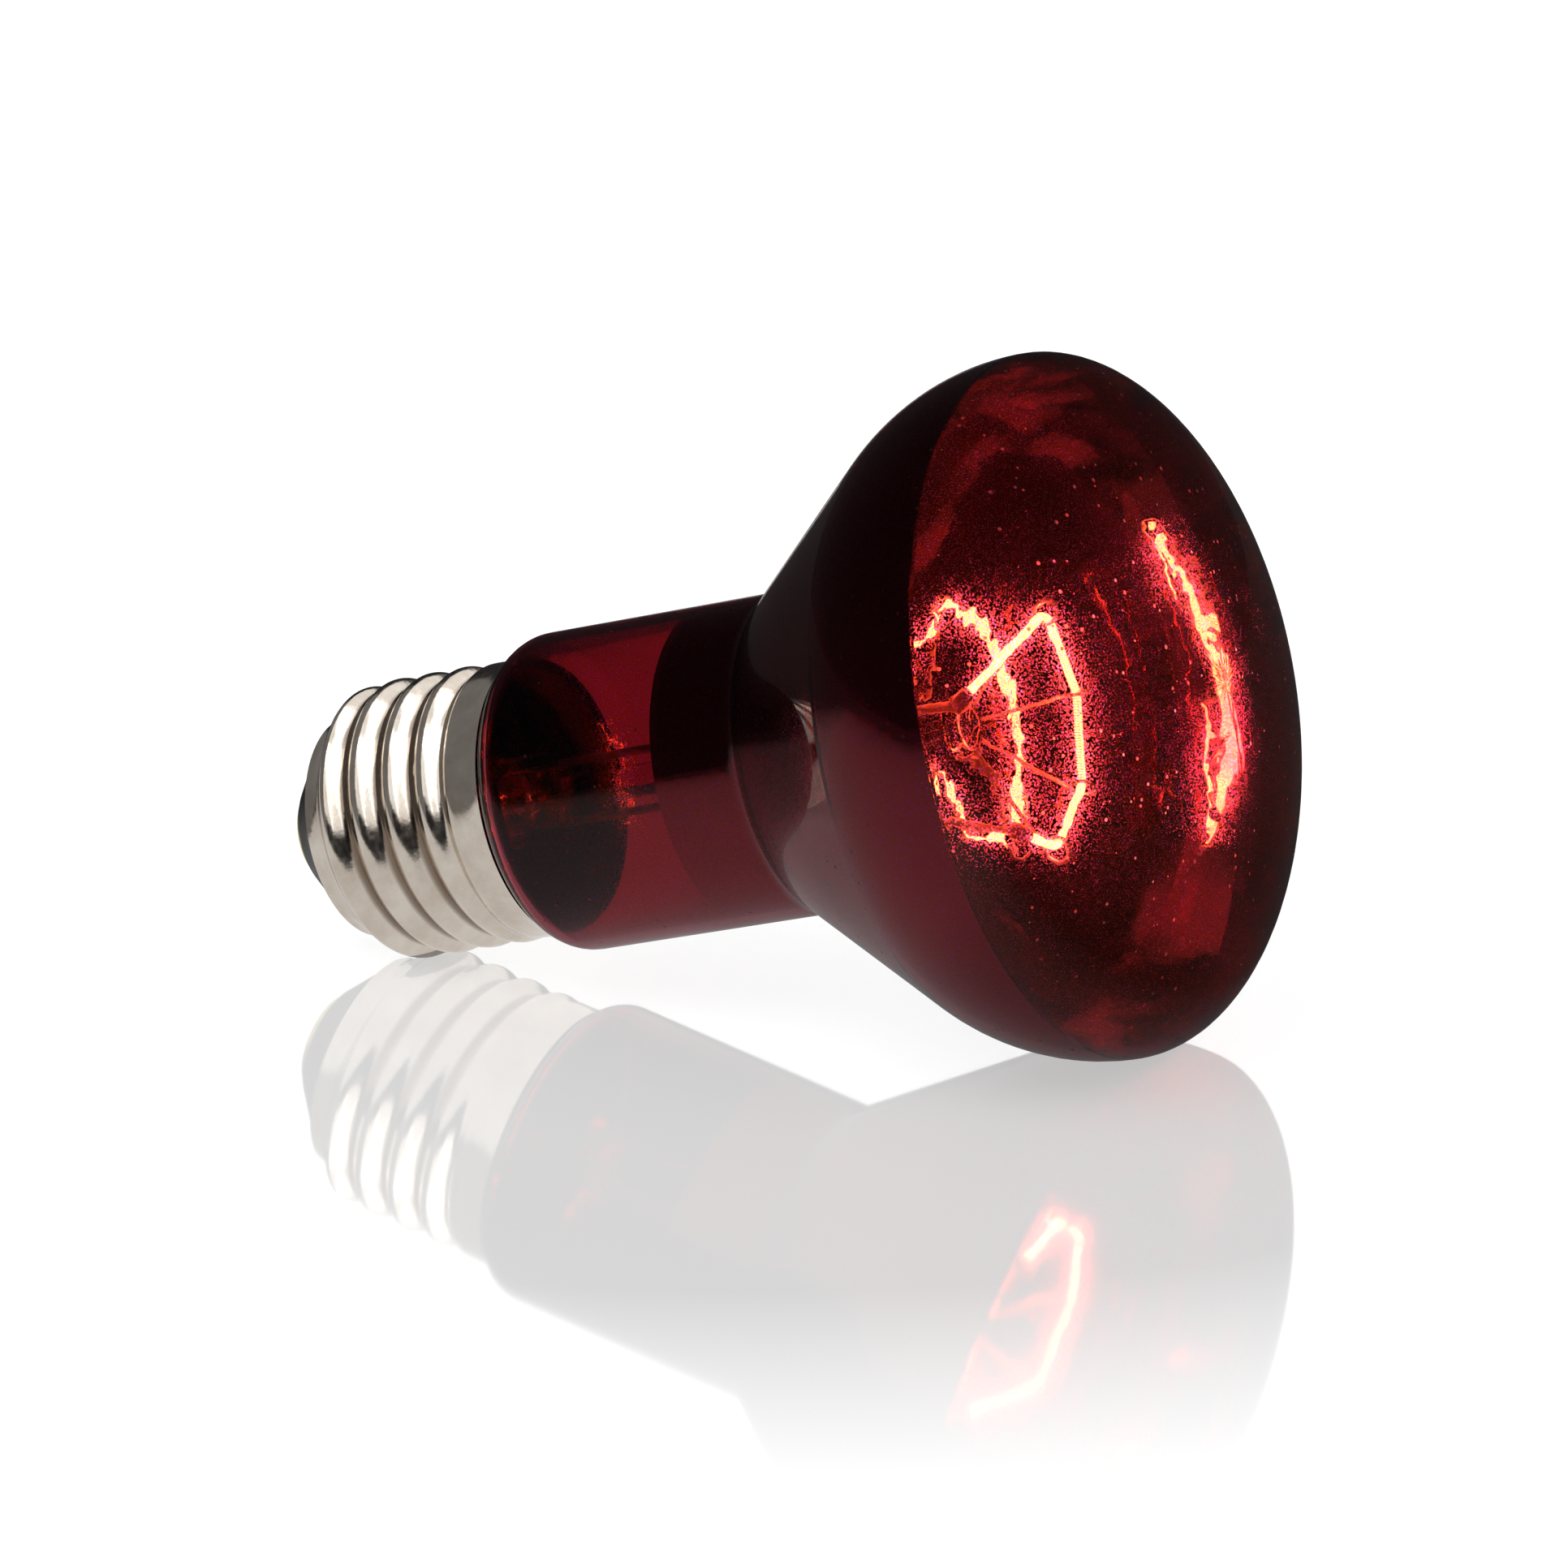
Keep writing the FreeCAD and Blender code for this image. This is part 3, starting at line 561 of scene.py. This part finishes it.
def tube(name, points, radius, sides):
    """A round wire through many close points, closed at both ends."""
    shape = bmesh.new()
    turns = [2 * math.pi * side / sides for side in range(sides)]
    rings = []
    for point, across, other in across_line(points):
        offsets = [across * math.cos(turn) + other * math.sin(turn) for turn in turns]
        rings.append([shape.verts.new(point + offset * radius) for offset in offsets])
    for first, second in zip(rings, rings[1:]):
        for side in range(sides):
            after = (side + 1) % sides
            face = shape.faces.new((first[side], first[after], second[after], second[side]))
            face.smooth = True
    shape.faces.new(list(reversed(rings[0])))
    shape.faces.new(rings[-1])
    return mesh_object(name, shape)


def filament_coil():
    """The tungsten coil itself, in place of its outer form."""
    path = rounded(filament_corners(), FILAMENT_BEND, BEND_STEPS)
    points = helix(path, Vector((0, 0, 1)), COIL_RADIUS, COIL_PITCH, COIL_STEPS)
    made = tube("filament_coil", [LAMP @ point for point in points], COIL_WIRE, WIRE_SIDES)
    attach(made, "root")
    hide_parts("filament")
    return made


def dress():
    """Each CAD piece and the coil get their finish."""
    glass = clear_glass()
    wire, copper, brass, solder, support = [metal(name) for name in METALS]
    finishes = {
        "glass_envelope": ruby_glass(),
        "mirror_coating": mirror_film(),
        "screw_shell": nickel(),
        "insulator": black_glass(),
        "centre_contact": brass,
        "contact_solder": solder,
        "side_solder": solder,
        "basing_cement": cement(),
        "stem": glass,
        "exhaust_tube": glass,
        "arbor_rod": glass,
        "outer_lead_centre": copper,
        "outer_lead_side": copper,
        "inner_lead_upper": wire,
        "inner_lead_lower": wire,
        "support_wire_1": support,
        "support_wire_2": support,
        "support_wire_3": support,
        "support_wire_4": support,
    }
    for name, finish in finishes.items():
        nodes[name].material_slots[0].material = finish
    filament_coil().data.materials.append(glowing_tungsten())


# Stage
DISC_SIDES = 96
FLOOR_RADIUS = 4.0
FLOOR_DROP = 0.02 * MM
FLOOR_MATT = (0.3, 0.3, 0.3, 1)
FLOOR_LIFT = 0.85
FLOOR_POLISH = 0.05
REFLECTION_SHARE = 0.42
REFLECTION_NEAR = 0.085
REFLECTION_FAR = 0.152


def seen_directly(tree):
    """One where the ray comes from the camera, a mirror or glass, else zero."""
    path = add_node(tree, "ShaderNodeLightPath").outputs
    seen = path["Is Camera Ray"]
    for kind in ("Is Glossy Ray", "Is Transmission Ray"):
        seen = combine(tree, "MAXIMUM", seen, path[kind])
    return seen


def floor_material():
    """White floor that keeps the shadow and a reflection fading away from the lamp."""
    made, tree, surface = empty_material("floor")
    matt = add_node(tree, "ShaderNodeBsdfDiffuse", {"Color": FLOOR_MATT})
    white = add_node(tree, "ShaderNodeEmission", {"Color": WHITE})
    lift = combine(tree, "MULTIPLY", seen_directly(tree), FLOOR_LIFT)
    tree.links.new(lift, white.inputs["Strength"])
    base = add_node(tree, "ShaderNodeAddShader")
    tree.links.new(matt.outputs[0], base.inputs[0])
    tree.links.new(white.outputs[0], base.inputs[1])
    gloss = add_node(tree, "ShaderNodeBsdfGlossy", {"Color": WHITE, "Roughness": FLOOR_POLISH})
    away = length_of(tree, own_place(tree))
    fade = spread(tree, away, REFLECTION_SHARE, 0.0, REFLECTION_NEAR, REFLECTION_FAR)
    either(tree, fade, base, gloss, surface)
    return made


def floor():
    """The round floor just under the lamp."""
    shape = bmesh.new()
    bmesh.ops.create_circle(shape, cap_ends=True, segments=DISC_SIDES, radius=FLOOR_RADIUS)
    made = mesh_object("floor", shape)
    made.location.z = -FLOOR_DROP
    made.data.materials.append(floor_material())


def reflected_only(made):
    """Leaves a stage piece to be seen in mirrors and through glass alone."""
    made.visible_camera = False
    made.visible_diffuse = False
    made.visible_shadow = False


TABLE_HEIGHT = 0.02 * MM
TABLE_LAYERS = 4
ROOM_RADIUS = 1.6
ROOM_STEP = 5
ROOM_COLOUR = (0.04, 0.04, 0.044, 1)
ONE_BOUNCE = 1.5


def from_floor(tree):
    """One where the floor alone reflects the ray, which then rose through the table's layers."""
    path = add_node(tree, "ShaderNodeLightPath").outputs
    first = combine(tree, "LESS_THAN", path["Ray Depth"], ONE_BOUNCE)
    passed = combine(tree, "GREATER_THAN", path["Transparent Depth"], TABLE_LAYERS - 0.5)
    return combine(tree, "MULTIPLY", first, passed)


def room_material():
    """Dim to mirrors and glass, white to the floor's own reflection."""
    made, tree, surface = empty_material("dark_room")
    dim = add_node(tree, "ShaderNodeBsdfPrincipled", {
        "Base Color": ROOM_COLOUR, "Roughness": 1.0, "Specular IOR Level": 0.0})
    white = add_node(tree, "ShaderNodeEmission", {"Color": WHITE, "Strength": 1.0})
    either(tree, from_floor(tree), dim, white, surface)
    made.cycles.emission_sampling = "NONE"
    return made


def dark_room():
    """Walls and ceiling round the stage."""
    shape = bmesh.new()
    for left in range(-180, 180, ROOM_STEP):
        for low in range(0, 90, ROOM_STEP):
            right, high = left + ROOM_STEP, low + ROOM_STEP
            corners = ((left, low), (right, low), (right, high), (left, high))
            places = [outward(*corner) * ROOM_RADIUS for corner in corners]
            shape.faces.new([shape.verts.new(place) for place in places])
    room = mesh_object("dark_room", shape)
    room.data.materials.append(room_material())
    reflected_only(room)


# The table as mirrors and glass see it, in metres to the viewer's right and away from the camera
TABLE_NEAR = 0.27
TABLE_FAR = 0.04
TABLE_REACH = 0.45
TABLE_DIM = 0.03
TABLE_STRIP = 0.38
LIT_ACROSS = (0.0, 0.05)
LIT_AWAY = (0.03, 0.08)
STRIP_ACROSS = ((-0.036, -0.031), (-0.008, -0.003))
STRIP_AWAY = (0.0, 0.02)


def table_level(tree):
    """Grey near the lamp on the left, dim behind and to the right, paler behind the neck."""
    place = own_place(tree)
    parts = split(tree, place)
    across, away = parts["X"], parts["Y"]
    near = spread(tree, length_of(tree, place), TABLE_NEAR, TABLE_FAR, 0.0, TABLE_REACH)
    left = falling(tree, across, *LIT_ACROSS)
    lit = combine(tree, "MULTIPLY", left, falling(tree, away, *LIT_AWAY))
    level = blend(tree, lit, TABLE_DIM, near)
    strip = band(tree, across, *STRIP_ACROSS)
    strip = combine(tree, "MULTIPLY", strip, rising(tree, away, *STRIP_AWAY))
    return blend(tree, strip, level, TABLE_STRIP)


def table_material():
    """Grey as mirrors and glass see the table, clear from below."""
    made, tree, surface = empty_material("table_shade")
    grey = add_node(tree, "ShaderNodeEmission", {"Color": WHITE})
    tree.links.new(table_level(tree), grey.inputs["Strength"])
    clear = add_node(tree, "ShaderNodeBsdfTransparent")
    side = add_node(tree, "ShaderNodeNewGeometry")
    either(tree, side.outputs["Backfacing"], grey, clear, surface)
    made.cycles.emission_sampling = "NONE"
    return made


def table_shade():
    """Thin layers just above the floor."""
    shape = bmesh.new()
    for layer in range(TABLE_LAYERS):
        height = Matrix.Translation((0, 0, TABLE_HEIGHT * layer / TABLE_LAYERS))
        bmesh.ops.create_circle(
            shape, cap_ends=True, segments=DISC_SIDES, radius=ROOM_RADIUS, matrix=height)
    made = mesh_object("table_shade", shape)
    made.location.z = TABLE_HEIGHT
    made.rotation_euler.z = CAMERA_AZIMUTH
    made.data.materials.append(table_material())
    reflected_only(made)


def area_light(name, location, facing, size, radiance, receivers=None):
    """A square soft lamp, its power set by how bright its face looks."""
    lamp = bpy.data.lights.new(name, "AREA")
    lamp.shape = "SQUARE"
    lamp.size = size
    lamp.energy = radiance * math.pi * size * size
    made = bpy.data.objects.new(name, lamp)
    made.location = location
    made.rotation_mode = "QUATERNION"
    made.rotation_quaternion = (-facing).to_track_quat("Z", "Y")
    bpy.context.scene.collection.objects.link(made)
    made.visible_camera = False
    if receivers is None:
        made.visible_glossy = False
        made.visible_transmission = False
    else:
        made.light_linking.receiver_collection = receivers


def aimed_light(name, centre, azimuth, elevation, distance, size, radiance, receivers=None):
    """A soft lamp that faces a centre from a bearing and a height."""
    away = outward(azimuth, elevation)
    area_light(name, centre + away * distance, -away, size, radiance, receivers)


# Bearing, height, distance, size and brightness of the main lamps
KEY = (-50, 55, 0.9, 0.6, 4.0)
FILL = (60, 40, 1.0, 0.6, 2.0)
# Soft boxes that only the cap sees: bearing, height, size and brightness of each
CAP_BOX_DISTANCE = 0.34
CAP_BOXES = (
    (-100, 22, 0.95, 0.17), (-20, 52, 0.4, 1.0), (35, 50, 0.4, 1.1), (85, 50, 0.4, 1.1),
    (135, 50, 0.4, 1.05), (60, 85, 0.4, 1.05))
CAP_PIECES = ("screw_shell", "centre_contact", "contact_solder", "side_solder")
BELOW_BEARING = -60
BELOW_OFFSET = 0.06
BELOW_HEIGHT = 1 * MM
BELOW_SIZE = 0.24
BELOW_RADIANCE = 0.45


def lights():
    """Soft light on all, and on the cap the boxes that its thread mirrors."""
    aimed_light("key", Vector(), *KEY)
    aimed_light("fill", Vector(), *FILL)
    cap = bpy.data.collections.new("cap_light")
    for name in CAP_PIECES:
        cap.objects.link(nodes[name])
    for azimuth, elevation, size, radiance in CAP_BOXES:
        name = "cap_box_%d_%d" % (azimuth, elevation)
        aimed_light(name, CAP_MIDDLE, azimuth, elevation, CAP_BOX_DISTANCE, size, radiance, cap)
    below = CAP_MIDDLE + outward(BELOW_BEARING, 0) * BELOW_OFFSET
    below.z = BELOW_HEIGHT
    area_light("cap_below", below, Vector((0, 0, 1)), BELOW_SIZE, BELOW_RADIANCE, cap)


WORLD_LEVEL = 0.5


def world():
    """White to the camera, mirrors and glass, and a softer light on the rest."""
    made = bpy.data.worlds.new("studio")
    made.use_nodes = True
    tree = made.node_tree
    tree.nodes.clear()
    output = add_node(tree, "ShaderNodeOutputWorld")
    soft = add_node(tree, "ShaderNodeBackground", {"Color": WHITE, "Strength": WORLD_LEVEL})
    white = add_node(tree, "ShaderNodeBackground", {"Color": WHITE, "Strength": 1.0})
    either(tree, seen_directly(tree), soft, white, output.inputs["Surface"])
    bpy.context.scene.world = made


def camera():
    """The photograph's view of the lamp."""
    data = bpy.data.cameras.new("camera")
    data.lens = CAMERA_LENS
    data.sensor_width = CAMERA_SENSOR
    data.clip_start, data.clip_end = CAMERA_CLIP
    made = bpy.data.objects.new("camera", data)
    bpy.context.scene.collection.objects.link(made)
    back = outward(0, math.degrees(CAMERA_ELEVATION))
    made.location = CAMERA_TARGET + back * CAMERA_DISTANCE
    right = (-back).cross(Vector((0, 0, 1))).normalized()
    above = right.cross(-back)
    aim = CAMERA_TARGET + right * CAMERA_AIM_RIGHT + above * CAMERA_AIM_UP
    look = (aim - made.location).to_track_quat("-Z", "Y")
    made.rotation_mode = "QUATERNION"
    made.rotation_quaternion = look @ Quaternion((0, 0, 1), CAMERA_ROLL)
    bpy.context.scene.camera = made


dress()
floor()
dark_room()
table_shade()
lights()
world()
camera()
bpy.context.scene.view_settings.view_transform = "Standard"
